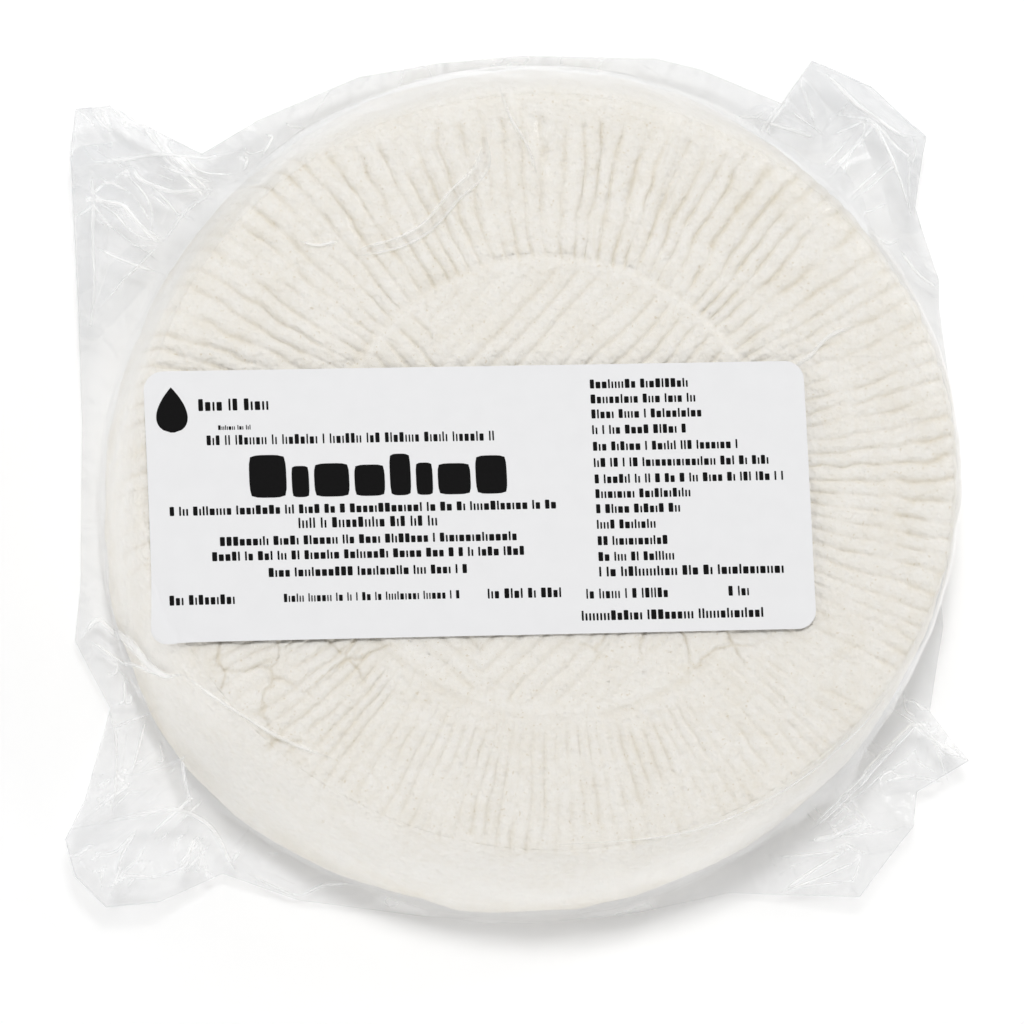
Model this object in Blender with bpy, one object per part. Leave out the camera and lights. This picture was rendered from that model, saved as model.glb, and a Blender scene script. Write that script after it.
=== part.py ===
"""A wheel of fresh ricotta, vacuum-packed in a clear film bag, with one paper label on its face.

The wheel lies on its flat base with its ribbed face up. Metres, +Z up. The origin is under the
middle of the bag, on the surface it rests on. +X runs along the label, from left to right.

    bag    the sealed bag with the wheel in it: one closed body, out to the four film ears
    label  the paper label, a thin slab that follows the face and bends over its left edge
"""

import math
from functools import partial

import bmesh
import bpy
import numpy as np

MM = 0.001

# The wheel, as the basket mould leaves it: a ribbed face, and sides that flare down to the base.
WHEEL_CENTRE_X = 2.0 * MM
WHEEL_HEIGHT = 41.0 * MM
FACE_RADIUS_X = 80.0 * MM
FACE_RADIUS_Y = 73.0 * MM
SIDE_RADIUS = 84.3 * MM
SIDE_OVAL = 1.0 * MM  # the sides reach this much further along the 45 degree diagonal
SIDE_ROUND = 1.4  # exponent of the side's curve: 1 is a straight cone, 2 is a quarter ellipse
SIDE_FOOT_Z = 11.0 * MM  # the film leaves the wheel here
BASE_FLAT_RADIUS = 78.0 * MM
BASE_ROUND_Z = 3.0 * MM

# The face: a raised middle disc, and ribs that run from it to the edge.
DISC_CENTRE_Y = -2.0 * MM
DISC_RADIUS = 44.5 * MM
DISC_STEP = 0.8 * MM
RIB_DEPTH = 0.8 * MM

# The film beyond the wheel: corners of its outline, anticlockwise from the right.
FILM_OUTLINE_MM = (
    (88, 6), (86, 24), (84, 38), (84, 43), (79, 57), (81, 71), (70, 81), (58, 86), (54, 77),
    (36, 84), (27, 86), (0, 86), (-17, 84), (-32, 81), (-52, 72), (-63, 65), (-76, 71),
    (-81, 74), (-88, 73), (-89, 64), (-87, 33), (-86, 12), (-86, -20), (-87, -31), (-80, -44),
    (-85, -62), (-89, -70), (-87, -77), (-81, -83), (-71, -82), (-58, -76), (-43, -81),
    (-18, -84), (6, -85), (24, -83), (42, -79), (67, -80), (78, -66), (79, -59), (89, -53),
    (82, -43), (85, -26), (84, -15),
)
SKIRT_THICKNESS = 1.2 * MM
SKIRT_ROOT_Z = 8.0 * MM
NEAR_EAR_Z = 3.2 * MM
FAR_EAR_Z = 8.0 * MM
PLEATS = 24
PLEAT_HEIGHT = 1.1 * MM
EAR_REACH = 25.0 * MM  # a film edge this far out has pleats of their full height

# The label.
LABEL_WIDTH = 127.0 * MM
LABEL_HEIGHT = 51.5 * MM
LABEL_CENTRE = (-11.4 * MM, -6.2 * MM)
LABEL_TURN = math.radians(1.9)
LABEL_CORNER = 3.6 * MM
LABEL_GAP = 0.3 * MM
LABEL_THICKNESS = 0.25 * MM
LABEL_BRIDGE = 1.2 * MM  # the paper is stiff: it starts to bend this far past the face's edge

SECTORS = 144  # two to each rib
FACE_RINGS = (0.45, 0.72, 0.86, 1.0)  # ribbed rings, as a share of the way from disc to edge
SIDE_STEPS = 5
SKIRT_STEPS = 3
LABEL_COLUMNS = 46
LABEL_ROWS = 12


def clear_scene():
    for old in list(bpy.data.objects):
        bpy.data.objects.remove(old, do_unlink=True)


def make_material(name, colour, roughness):
    """A Principled material of one sRGB colour (0 to 1) and one roughness."""
    material = bpy.data.materials.new(name)
    material.use_nodes = True
    shader = material.node_tree.nodes["Principled BSDF"]
    linear = [((c + 0.055) / 1.055) ** 2.4 if c > 0.04045 else c / 12.92 for c in colour]
    shader.inputs["Base Color"].default_value = (*linear, 1.0)
    shader.inputs["Roughness"].default_value = roughness
    shader.inputs["Metallic"].default_value = 0.0
    return material


def face_edge(angle):
    """Radius of the face's edge: an ellipse about the wheel's axis."""
    return 1 / np.sqrt((np.cos(angle) / FACE_RADIUS_X) ** 2 + (np.sin(angle) / FACE_RADIUS_Y) ** 2)


def side_edge(angle):
    """Greatest radius of the wheel: a circle, a little longer along one diagonal."""
    return SIDE_RADIUS + SIDE_OVAL * np.cos(2 * (angle - math.pi / 4))


def disc_edge(angle):
    """Radius of the middle disc's edge: a circle whose centre is off the wheel's axis in Y."""
    across = DISC_CENTRE_Y * np.cos(angle)
    return DISC_CENTRE_Y * np.sin(angle) + np.sqrt(DISC_RADIUS**2 - across**2)


def film_edge(angle):
    """Distance from the wheel's axis to the film's outline, along each angle."""
    corners = np.array(FILM_OUTLINE_MM) * MM - (WHEEL_CENTRE_X, 0)
    ends = np.roll(corners, -1, axis=0)
    ray = np.stack([np.cos(angle), np.sin(angle)], axis=1)[:, None, :]
    edge = (ends - corners)[None]
    start = corners[None]
    cross = ray[..., 0] * edge[..., 1] - ray[..., 1] * edge[..., 0]
    cross = np.where(np.abs(cross) < 1e-12, 1e-12, cross)
    reach = (start[..., 0] * edge[..., 1] - start[..., 1] * edge[..., 0]) / cross
    along = (start[..., 0] * ray[..., 1] - start[..., 1] * ray[..., 0]) / cross
    hit = (reach > 0) & (along >= -1e-9) & (along <= 1 + 1e-9)
    return np.where(hit, reach, 0).max(axis=1)


def side_drop(share):
    """How far the side has come down, as a share of its height, at a share of the way out."""
    return 1 - (1 - np.clip(share, 0, 1) ** SIDE_ROUND) ** (1 / SIDE_ROUND)


def face_height(x, y, bridge=0.0):
    """Height of the smooth face at a point, with its sides falling away beyond the edge."""
    radius = np.hypot(x - WHEEL_CENTRE_X, y) - bridge
    angle = np.arctan2(y, x - WHEEL_CENTRE_X)
    share = (radius - face_edge(angle)) / (side_edge(angle) - face_edge(angle))
    return WHEEL_HEIGHT - side_drop(share) * (WHEEL_HEIGHT - SIDE_FOOT_Z)


def skirt_height(angle, share):
    """Height of the film beyond the wheel: from the wheel's foot to the edge, with pleats."""
    far = 0.5 + 0.5 * np.sin(angle)
    edge_z = NEAR_EAR_Z + (FAR_EAR_Z - NEAR_EAR_Z) * far
    ear = np.clip((film_edge(angle) - side_edge(angle)) / EAR_REACH, 0, 1)
    pleat = PLEAT_HEIGHT * ear * np.sin(PLEATS * angle)
    return SKIRT_ROOT_Z + (edge_z - SKIRT_ROOT_Z + pleat) * share


def bag_rings():
    """The rings of the bag from the middle of the face, over the edge, to the base: (radius, z)."""
    angle = np.arange(SECTORS) * 2 * math.pi / SECTORS
    level = np.ones(SECTORS)
    rib = np.where(np.arange(SECTORS) % 2, RIB_DEPTH, 0.0)
    disc, face, side = disc_edge(angle), face_edge(angle), side_edge(angle)
    skirt_start = side + 0.3 * MM
    skirt_end = np.maximum(film_edge(angle), side + 1.0 * MM)

    rings = [(disc * 0.5, WHEEL_HEIGHT * level), (disc, WHEEL_HEIGHT * level)]
    for share in FACE_RINGS:
        step = DISC_STEP if share < 0.5 else DISC_STEP * (1 - share)
        rings.append((disc + (face - disc) * share, (WHEEL_HEIGHT - step) * level - rib * (share < 1)))
    rings.insert(2, (disc + DISC_STEP, (WHEEL_HEIGHT - DISC_STEP) * level - rib))
    for step in range(1, SIDE_STEPS + 1):
        turn = 0.5 * math.pi * step / SIDE_STEPS
        share = math.sin(turn) ** (2 / SIDE_ROUND)
        height = WHEEL_HEIGHT - side_drop(share) * (WHEEL_HEIGHT - SIDE_FOOT_Z)
        rings.append((face + (side - face) * share, height * level))
    for step in range(SKIRT_STEPS + 1):
        share = step / SKIRT_STEPS
        rings.append((skirt_start + (skirt_end - skirt_start) * share, skirt_height(angle, share)))
    for step in range(SKIRT_STEPS, 0, -1):
        share = step / SKIRT_STEPS
        z = skirt_height(angle, share) - SKIRT_THICKNESS
        rings.append((skirt_start + (skirt_end - skirt_start) * share, z))
    rings.append(((BASE_FLAT_RADIUS + side) / 2, BASE_ROUND_Z * level))
    rings.append((BASE_FLAT_RADIUS * level, 0 * level))
    return angle, rings


def make_bag():
    angle, rings = bag_rings()
    mesh = bmesh.new()
    loops = []
    for radius, height in rings:
        xs = WHEEL_CENTRE_X + radius * np.cos(angle)
        ys = radius * np.sin(angle)
        loops.append([mesh.verts.new(point) for point in zip(xs, ys, height)])
    top = mesh.verts.new((WHEEL_CENTRE_X, 0, WHEEL_HEIGHT))
    for k in range(SECTORS):
        mesh.faces.new((top, loops[0][k], loops[0][(k + 1) % SECTORS]))
    for upper, lower in zip(loops, loops[1:]):
        for k in range(SECTORS):
            after = (k + 1) % SECTORS
            mesh.faces.new((upper[k], lower[k], lower[after], upper[after]))
    mesh.faces.new(loops[-1][::-1])
    return finish(mesh, "bag", make_material("clear_vacuum_film", (0.91, 0.90, 0.87), 0.2))


def label_point(u, v):
    """A label point for u and v from -1 to 1: rounded rectangle, turned and laid on the plane."""
    x = u * LABEL_WIDTH / 2
    past = np.clip(np.abs(x) - (LABEL_WIDTH / 2 - LABEL_CORNER), 0, LABEL_CORNER)
    half = LABEL_HEIGHT / 2 - LABEL_CORNER + np.sqrt(LABEL_CORNER**2 - past**2)
    y = v * half
    cos, sin = math.cos(LABEL_TURN), math.sin(LABEL_TURN)
    return LABEL_CENTRE[0] + x * cos - y * sin, LABEL_CENTRE[1] + x * sin + y * cos


def label_sheet(lift):
    """Grid of label points at one distance over the face, along the face's own normal."""
    middle = LABEL_CORNER * 2 / LABEL_WIDTH
    arc = np.sin(np.linspace(0, 0.5 * math.pi, 5))[1:] * middle + 1 - middle
    u = np.concatenate([-arc[::-1], np.linspace(-1 + middle, 1 - middle, LABEL_COLUMNS), arc])
    v = np.linspace(-1, 1, LABEL_ROWS + 1)
    x, y = label_point(*np.meshgrid(u, v, indexing="ij"))
    reach = 0.2 * MM
    height = partial(face_height, bridge=LABEL_BRIDGE)
    slope_x = (height(x + reach, y) - height(x - reach, y)) / (2 * reach)
    slope_y = (height(x, y + reach) - height(x, y - reach)) / (2 * reach)
    length = np.sqrt(1 + slope_x**2 + slope_y**2)
    z = height(x, y) + lift / length
    return np.stack([x - lift * slope_x / length, y - lift * slope_y / length, z], axis=2)


def make_label():
    mesh = bmesh.new()
    grids = []
    for lift in (LABEL_GAP, LABEL_GAP + LABEL_THICKNESS):
        points = label_sheet(lift)
        grids.append([[mesh.verts.new(point) for point in row] for row in points])
    under, over = grids
    columns, rows = len(over), len(over[0])
    for i in range(columns - 1):
        for j in range(rows - 1):
            mesh.faces.new((over[i][j], over[i + 1][j], over[i + 1][j + 1], over[i][j + 1]))
            mesh.faces.new((under[i][j], under[i][j + 1], under[i + 1][j + 1], under[i + 1][j]))
    rim = [(i, 0) for i in range(columns)] + [(columns - 1, j) for j in range(1, rows)]
    rim += [(i, rows - 1) for i in range(columns - 2, -1, -1)]
    rim += [(0, j) for j in range(rows - 2, 0, -1)]
    for (i, j), (m, n) in zip(rim, rim[1:] + rim[:1]):
        mesh.faces.new((under[i][j], under[m][n], over[m][n], over[i][j]))
    return finish(mesh, "label", make_material("white_label_paper", (0.93, 0.93, 0.93), 0.5))


def finish(mesh, name, material):
    """Turns a bmesh into a named object at the origin, its flat faces split into triangles."""
    bmesh.ops.recalc_face_normals(mesh, faces=mesh.faces)
    bmesh.ops.triangulate(mesh, faces=mesh.faces)
    data = bpy.data.meshes.new(name)
    mesh.to_mesh(data)
    mesh.free()
    data.materials.append(material)
    data.shade_smooth()
    data.set_sharp_from_angle(angle=math.radians(30))
    piece = bpy.data.objects.new(name, data)
    bpy.context.scene.collection.objects.link(piece)
    return piece


clear_scene()
make_bag()
make_label()
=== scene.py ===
"""Looks for a wheel of fresh ricotta, vacuum-packed in clear film, with a paper label on its face.

Sizes in each section are in millimetres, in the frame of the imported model, and are turned to metres
as a mesh is made. The wheel lies face up on its flat base, with the label along +X.
"""

import math

import bpy
import numpy as np
from mathutils import Matrix, Vector


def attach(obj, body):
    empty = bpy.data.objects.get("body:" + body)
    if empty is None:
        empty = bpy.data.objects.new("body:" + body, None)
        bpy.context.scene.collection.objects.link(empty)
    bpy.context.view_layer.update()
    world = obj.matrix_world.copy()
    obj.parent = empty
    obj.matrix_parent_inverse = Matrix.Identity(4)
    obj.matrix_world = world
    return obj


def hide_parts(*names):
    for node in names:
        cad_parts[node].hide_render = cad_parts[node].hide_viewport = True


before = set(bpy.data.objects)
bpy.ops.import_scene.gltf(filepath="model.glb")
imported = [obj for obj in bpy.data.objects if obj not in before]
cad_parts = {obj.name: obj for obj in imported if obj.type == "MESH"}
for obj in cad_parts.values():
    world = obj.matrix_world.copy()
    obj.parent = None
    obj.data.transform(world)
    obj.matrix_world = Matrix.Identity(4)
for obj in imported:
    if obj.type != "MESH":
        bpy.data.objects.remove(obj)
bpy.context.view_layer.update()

# ------------------------------------------------------------
# Studio: a camera high over the near left side, a lit white table, and soft light from all round,
# most of it from behind. The long lens is for a pack shot, so the wheel's face stays round.

MM = 0.001
CAMERA_AZIMUTH = math.radians(222.0)
CAMERA_ELEVATION = math.radians(80.5)
CAMERA_DISTANCE = 1250.0
CAMERA_TARGET = Vector((-2.4, -5.5, 14.0))
LENS = 225.0
FLOOR_SIZE = 3000.0
FLOOR_WHITE = "#FCFCFC"
FLOOR_GLOW = 0.04  # the table is lit from below as well
OVERHEAD_LIGHT = 0.2
HORIZON_LIGHT = 0.75
PLAIN_WHITE = (1.0, 1.0, 1.0, 1.0)


def linear(hex_colour):
    """An sRGB hex colour as linear RGBA."""
    parts = [int(hex_colour[k:k + 2], 16) / 255 for k in (1, 3, 5)]
    return tuple(((c + 0.055) / 1.055) ** 2.4 if c > 0.04045 else c / 12.92 for c in parts) + (1.0,)


def add_node(tree, kind, inputs=None, **settings):
    """Adds one node. An input is given a value, or is linked to a socket or to a node's first output."""
    made = tree.nodes.new("ShaderNode" + kind)
    for name, value in settings.items():
        setattr(made, name, value)
    for key, value in (inputs or {}).items():
        if isinstance(value, bpy.types.Node):
            value = value.outputs[0]
        if isinstance(value, bpy.types.NodeSocket):
            tree.links.new(value, made.inputs[key])
        else:
            made.inputs[key].default_value = value
    return made


def new_material(name):
    """An empty node material and its output node."""
    material = bpy.data.materials.new(name)
    material.use_nodes = True
    material.node_tree.nodes.clear()
    return material, material.node_tree, add_node(material.node_tree, "OutputMaterial")


def link_object(name, data):
    made = bpy.data.objects.new(name, data)
    bpy.context.scene.collection.objects.link(made)
    return made


def softbox(name, azimuth, elevation, distance, size, watts, mirrored=True):
    """An area light at a compass angle and height about the wheel, turned to face it.

    One that isn't mirrored is behind a polarising sheet, which keeps its image out of glossy film."""
    lamp = bpy.data.lights.new(name, "AREA")
    lamp.shape = "RECTANGLE"
    lamp.size, lamp.size_y = size[0] * MM, size[1] * MM
    lamp.energy = watts
    flat = distance * math.cos(math.radians(elevation))
    rise = distance * math.sin(math.radians(elevation))
    turn = math.radians(azimuth)
    place = Vector((flat * math.cos(turn), flat * math.sin(turn), rise))
    made = link_object(name, lamp)
    made.location = place * MM
    made.rotation_euler = place.to_track_quat("Z", "Y").to_euler()
    made.visible_glossy = mirrored


def place_camera():
    """Looks at the target from the given angles, rolled so that +Y stays upright in the picture."""
    flat = math.cos(CAMERA_ELEVATION)
    x, y = flat * math.cos(CAMERA_AZIMUTH), flat * math.sin(CAMERA_AZIMUTH)
    back = Vector((x, y, math.sin(CAMERA_ELEVATION)))
    right = Vector((0, 1, 0)).cross(back).normalized()
    up = back.cross(right)
    camera = link_object("camera", bpy.data.cameras.new("camera"))
    camera.data.lens = LENS
    camera.data.clip_end = 20.0
    turned = Matrix((right, up, back)).transposed().to_4x4()
    camera.matrix_world = Matrix.Translation((CAMERA_TARGET + back * CAMERA_DISTANCE) * MM) @ turned
    bpy.context.scene.camera = camera


place_camera()
# Compass angle and elevation in degrees, distance, width and height in millimetres, and watts.
softbox("key_softbox", 105.0, 73.0, 1600.0, (250, 250), 10.4, mirrored=False)
softbox("top_strip", 105.0, 66.0, 1200.0, (160, 500), 0.5)
softbox("far_left_strip", 142.0, 55.0, 1200.0, (160, 500), 0.4)
softbox("right_strip", 35.0, 40.0, 1200.0, (160, 500), 1.3)
softbox("left_strip", 175.0, 36.0, 1100.0, (120, 500), 0.4)
softbox("near_fill", 245.0, 14.0, 1300.0, (500, 220), 2.8, mirrored=False)
softbox("right_fill", 330.0, 16.0, 1300.0, (500, 220), 1.7, mirrored=False)

# Radiance is HORIZON_LIGHT times the fourth power of the cosine of the elevation, over OVERHEAD_LIGHT.
world = bpy.data.worlds.new("white_room")
world.use_nodes = True
tree = world.node_tree
upward = add_node(tree, "TexCoord").outputs["Generated"]
height = add_node(tree, "SeparateXYZ", {0: upward}).outputs["Z"]
square = add_node(tree, "Math", {0: height, 1: height}, operation="MULTIPLY")
cosine = add_node(tree, "Math", {0: 1.0, 1: square}, operation="SUBTRACT")
fourth = add_node(tree, "Math", {0: cosine, 1: 2.0}, operation="POWER")
light = add_node(tree, "Math", {0: fourth, 1: HORIZON_LIGHT, 2: OVERHEAD_LIGHT}, operation="MULTIPLY_ADD")
tree.nodes["Background"].inputs["Color"].default_value = PLAIN_WHITE
tree.links.new(light.outputs[0], tree.nodes["Background"].inputs["Strength"])
bpy.context.scene.world = world
bpy.context.scene.view_settings.view_transform = "Standard"

floor_mesh = bpy.data.meshes.new("floor")
half = FLOOR_SIZE / 2 * MM
corners = [(-half, -half, 0), (half, -half, 0), (half, half, 0), (-half, half, 0)]
floor_mesh.from_pydata(corners, [], [(0, 1, 2, 3)])
floor_paint, tree, output = new_material("matt_white_floor")
paint = add_node(tree, "BsdfPrincipled", {
    "Base Color": linear(FLOOR_WHITE), "Roughness": 0.9, "Specular IOR Level": 0.0,
    "Emission Color": PLAIN_WHITE, "Emission Strength": FLOOR_GLOW,
})
tree.links.new(paint.outputs["BSDF"], output.inputs["Surface"])
floor_mesh.materials.append(floor_paint)
link_object("floor", floor_mesh)

# ------------------------------------------------------------
# The cheese: whey is drained from hot curd in a plastic basket, and the wheel is turned out on its
# wide end. The basket's bottom leaves a raised disc of slanting ribs and a ring of ribs that run
# out to the edge. The curd is fine, soft and moist, with small pores, and cracks where it is dry.

AXIS_X = 2.0  # of the wheel, from the middle of the bag
WHEEL_TOP = 41.0
FACE_RADIUS = (78.6, 73.0)
SIDE_RADIUS = 83.9
SIDE_OVAL = 1.0
SIDE_BULGE = (math.radians(217.0), math.radians(22.0), 2.6)  # middle, half width and size
SIDE_ROUND = 1.4
SIDE_FOOT = 5.0
SIDE_ARC = 82.0  # radius at which distance round the side is measured
SIDE_ROWS = 30
SHOULDER_TURN = 0.35  # how far down the side the face's relief fades out, from 0 to 1 at the foot
RIM_SAG = 1.4
BASE_RADIUS = 74.0
BASE_HEIGHT = 0.5
FILM_GAP = 0.3  # between curd and the film's outer face
CURD_WHITE = "#F2EFE9"
# Painted shade: the darker, creamier colour the curd is mixed to in its grooves, cracks and trench, and
# towards the foot.
CURD_PAINTED_SHADE = "#E3DBCA"
PORE_BROWN = "#CBBA98"
CURD_ROUGHNESS = 0.32  # height of its granules

DISC_CENTRE = (0.2, -3.4)
DISC_RADIUS = 43.7
DISC_STEP = 0.4
RIB_COUNT = 130
RIB_CROWDING = 20  # more ribs to a turn at the near side than the mean, and as many fewer at the far side
RIB_DEPTH = 0.76
RIB_ARC = 60.0  # radius at which distance round the ring is measured
CHEVRON_X = -19.0  # where the disc's ribs meet in chevrons, from the disc's centre
DISC_RIB_PITCH = 3.5
DISC_RIB_DEPTH = 0.58

PULL_RIDGES = (  # start, end, half width and height
    ((26, 72), (17, 49), 2.6, 1.3), ((-9, 74), (-1, 56), 1.6, 0.8), ((31, 70), (33, 62), 1.8, 0.6),
)
SECTORS = 1240


def smooth(low, high, value):
    """Rises from 0 at low to 1 at high with no corner: 3t^2 - 2t^3."""
    t = np.clip((value - low) / (high - low), 0, 1)
    return t * t * (3 - 2 * t)


def noise(x, y, size, seed):
    """Random heights from -1 to 1 on a square lattice, joined by smooth curves.

    It repeats every 256 cells."""
    table = np.random.default_rng(seed).uniform(-1, 1, (256, 256))
    u, v = np.asarray(x) / size + 128.37, np.asarray(y) / size + 128.71
    i, j = np.floor(u).astype(int), np.floor(v).astype(int)
    u, v = u - i, v - j
    u, v = u * u * (3 - 2 * u), v * v * (3 - 2 * v)
    i, j, i2, j2 = i % 256, j % 256, (i + 1) % 256, (j + 1) % 256
    low = table[i, j] * (1 - u) + table[i2, j] * u
    high = table[i, j2] * (1 - u) + table[i2, j2] * u
    return low * (1 - v) + high * v


def face_edge(angle):
    """Radius of the face's edge: an ellipse about the wheel's axis."""
    return 1 / np.sqrt((np.cos(angle) / FACE_RADIUS[0]) ** 2 + (np.sin(angle) / FACE_RADIUS[1]) ** 2)


def side_edge(angle):
    """Greatest radius of the wheel: a circle, a little longer along one diagonal.

    It has a bulge at the near left, where the wheel was squeezed out."""
    middle, width, size = SIDE_BULGE
    away = (angle - middle + math.pi) % (2 * math.pi) - math.pi
    return SIDE_RADIUS + SIDE_OVAL * np.cos(2 * (angle - math.pi / 4)) + size * np.exp(-(away / width) ** 2)


def side_drop(share):
    """How far the side has come down at a share of the way out, as a share of its height.

    It is a quarter of a superellipse."""
    return 1 - (1 - np.clip(share, 0, 1) ** SIDE_ROUND) ** (1 / SIDE_ROUND)


def rim_sag(share):
    """How far the face has sagged near its edge, in millimetres: the square of a smooth rise."""
    return RIM_SAG * smooth(0.92, 1.02, share) ** 2


def swell(x, y):
    """Slow rise and fall of the whole face, which the film and the label follow too.

    It is noise of two sizes, and never above 0."""
    return 0.35 * (noise(x, y, 27, 11) - 1) + 0.14 * (noise(x, y, 11, 12) - 1)


def groove(phase, width):
    """0 on a rib's crest and 1 in the groove between two.

    It is a narrow bell about each whole phase, over a wide shallow one."""
    away = np.abs(phase - np.round(phase))
    return 0.65 * np.exp(-(away / width) ** 2) + 0.35 * np.exp(-(away / (3 * width)) ** 2)


def near_share(y):
    """0 over the far half of the face, rising smoothly to 1 at its near side."""
    return smooth(5, -45, y)


def rib_phase(angle):
    """Goes up by one for each rib round the turn, faster at the near side, where the ribs crowd."""
    return (RIB_COUNT * angle + RIB_CROWDING * np.cos(angle)) / (2 * math.pi)


def rib_grooves(x, y):
    """How deep the basket's ribs are cut at each point, from 0 to 1.2: in the ring, and in the disc.

    Outside the disc, the phase of the ribs is made uneven by noise of the angle and bent by noise of
    the place. Each groove fades in and out along its length, and some have a shallow one beside them.
    Inside the disc, ribs run straight at 48 degrees, and left of one line they fall at 45, so they
    meet in chevrons."""
    dx, dy = x - DISC_CENTRE[0], y - DISC_CENTRE[1]
    radius, angle = np.hypot(dx, dy), np.arctan2(dy, dx)
    ring_x, ring_y = RIB_ARC * np.cos(angle), RIB_ARC * np.sin(angle)
    around = rib_phase(angle) + 0.29 * noise(ring_x, ring_y, 6.5, 21)
    around = around + 0.24 * noise(x, y, 11, 22) + 0.13 * noise(x, y, 3.4, 24)
    near = near_share(y)
    kept = smooth(-0.85, -0.2, noise(np.round(around) * 7.3, radius, 12, 28))
    width = 0.115 + 0.03 * near + 0.025 * noise(x, y, 9, 38) + 0.03 * noise(x, y, 3.5, 39)
    main = groove(around, width) * (0.65 + 0.35 * kept)
    extra = groove(2 * around + 0.5, 0.14) * smooth(0.1, 0.7, noise(x, y, 15, 29)) * 0.5
    depth = (1 - 0.2 * near) * (0.92 + 0.25 * noise(x, y, 16, 25))
    depth = depth * (0.4 + 0.7 * smooth(-0.8, 0.3, noise(x, y, 4.5, 26)))
    outside = smooth(DISC_RADIUS - 0.3, DISC_RADIUS + 1.6 + 7 * near, radius)
    ring = outside * np.maximum(main, extra) * depth

    slant = math.radians(48)
    rising = (dy * math.cos(slant) - dx * math.sin(slant)) / DISC_RIB_PITCH
    falling = (dy + dx) * math.sqrt(0.5) / DISC_RIB_PITCH
    within = np.where(dx + 0.15 * dy < CHEVRON_X, falling, rising)
    within = within + 0.22 * noise(x, y, 11, 23) + 0.06 * noise(x, y, 3.5, 30)
    faint = smooth(-0.8, 0.1, noise(np.round(within) * 7.3, dx - dy, 13, 27)) * (1 - 0.3 * near)
    inside = 1 - smooth(DISC_RADIUS - 2.4, DISC_RADIUS - 0.4, radius)
    disc = inside * groove(within, 0.12) * (0.4 + 0.6 * faint)
    return np.clip(ring, 0, 1.2), np.clip(disc, 0, 1.2)


def cell_borders(x, y, size, seed):
    """Distance from the nearest border between uneven cells, one about a random point in each square.

    It is half the difference between the distances to the two nearest points."""
    table = np.random.default_rng(seed).uniform(0.1, 0.9, (2, 64, 64))
    i, j = np.floor(x / size).astype(int), np.floor(y / size).astype(int)
    first, second = np.full(x.shape, 1e9), np.full(x.shape, 1e9)
    for a in (-1, 0, 1):
        for b in (-1, 0, 1):
            spot = table[:, (i + a) % 64, (j + b) % 64]
            away = np.hypot(x / size - i - a - spot[0], y / size - j - b - spot[1])
            second = np.minimum(second, np.maximum(first, away))
            first = np.minimum(first, away)
    return (second - first) / 2 * size


def crack_lines(x, y):
    """1 along fine cracks and 0 elsewhere: borders of wavy cells, in patches, most at the near left."""
    wavy_x = x + 1.6 * noise(x, y, 6, 31) + 0.5 * noise(x, y, 1.8, 34)
    wavy_y = y + 1.6 * noise(x, y, 6, 32) + 0.5 * noise(x, y, 1.8, 35)
    patch = 0.75 * noise(x, y, 17, 33) + 1.0 * smooth(34, 10, np.hypot((x + 40) * 0.9, y + 44))
    patch = patch + 0.45 * smooth(26, 8, np.hypot(x - 42, y + 46)) - 0.3 * smooth(-10, 20, y)
    lines = smooth(0.34, 0.06, cell_borders(wavy_x, wavy_y, 9, 36))
    return lines * (smooth(0.4, 0.75, patch) + 0.3 * smooth(-0.3, 0.4, noise(x, y, 7, 37)))


def away_from_line(x, y, start, end):
    """Distance of each place from a straight line between two points."""
    (x1, y1), (x2, y2) = start, end
    along = ((x - x1) * (x2 - x1) + (y - y1) * (y2 - y1)) / ((x2 - x1) ** 2 + (y2 - y1) ** 2)
    along = np.clip(along, 0, 1)
    return np.hypot(x - x1 - along * (x2 - x1), y - y1 - along * (y2 - y1))


def pull_ridges(x, y):
    """Height of the smooth ridges that the film has pulled up in the curd: bars along short lines."""
    height = np.zeros_like(x)
    for start, end, width, top in PULL_RIDGES:
        height = np.maximum(height, top * smooth(width, 0.3, away_from_line(x, y, start, end)))
    return height


def run_over(x, y):
    """1 at the left and right of the face, where the ribs run on over the shoulder, and 0 elsewhere."""
    return smooth(30, 52, np.abs(x)) * smooth(64, 52, y) * smooth(-38, -12, y)


def rib_fade(x, y, edge_share):
    """1 over most of the face. Where the ribs don't run over the shoulder it falls to 0 at the edge.

    edge_share is 1 at the face's edge. At the far side the ribs end sooner."""
    end = 1.01 + 0.035 * noise(x, y, 4, 45) - 0.06 * smooth(42, 66, y) + 0.2 * run_over(x, y)
    return 1 - smooth(end - 0.03, end + 0.02, edge_share)


def disc_edge(x, y, trench_depth):
    """Height of the step down at the disc's edge, and of the uneven trench that runs round its foot."""
    radius = np.hypot(x - DISC_CENTRE[0], y - DISC_CENTRE[1])
    step = DISC_STEP * (smooth(DISC_RADIUS + 0.9, DISC_RADIUS - 0.3, radius) - 1)
    trench = -trench_depth * np.exp(-((radius - DISC_RADIUS - 1.0) / 0.9) ** 2)
    return step, trench * smooth(-0.9, 0.6, noise(x, y, 9, 44))


def curd_relief(x, y, edge_share):
    """Height of the face over its plane, and how deep in a groove each point is, for the painted shade, from
    0 to 1.5.
    """
    ring, disc = rib_grooves(x, y)
    fade = rib_fade(x, y, edge_share)
    step, trench = disc_edge(x, y, 0.22)
    cut = ring * RIB_DEPTH * fade + disc * DISC_RIB_DEPTH
    grain = 0.14 * noise(x, y, 3.1, 41) + 0.12 * noise(x, y, 1.9, 42)
    grain = grain * (1 - 0.3 * near_share(y))
    cracks = crack_lines(x, y) * fade
    height = step + trench - cut - 0.4 * cracks + grain + pull_ridges(x, y) - rim_sag(edge_share)
    # The second result darkens the curd's colour in grooves, cracks and the disc's trench: painted shade.
    return height, np.clip(0.1 + 0.55 * (cut / RIB_DEPTH) ** 1.5 + 0.55 * cracks - trench, 0, 1.5)


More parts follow.
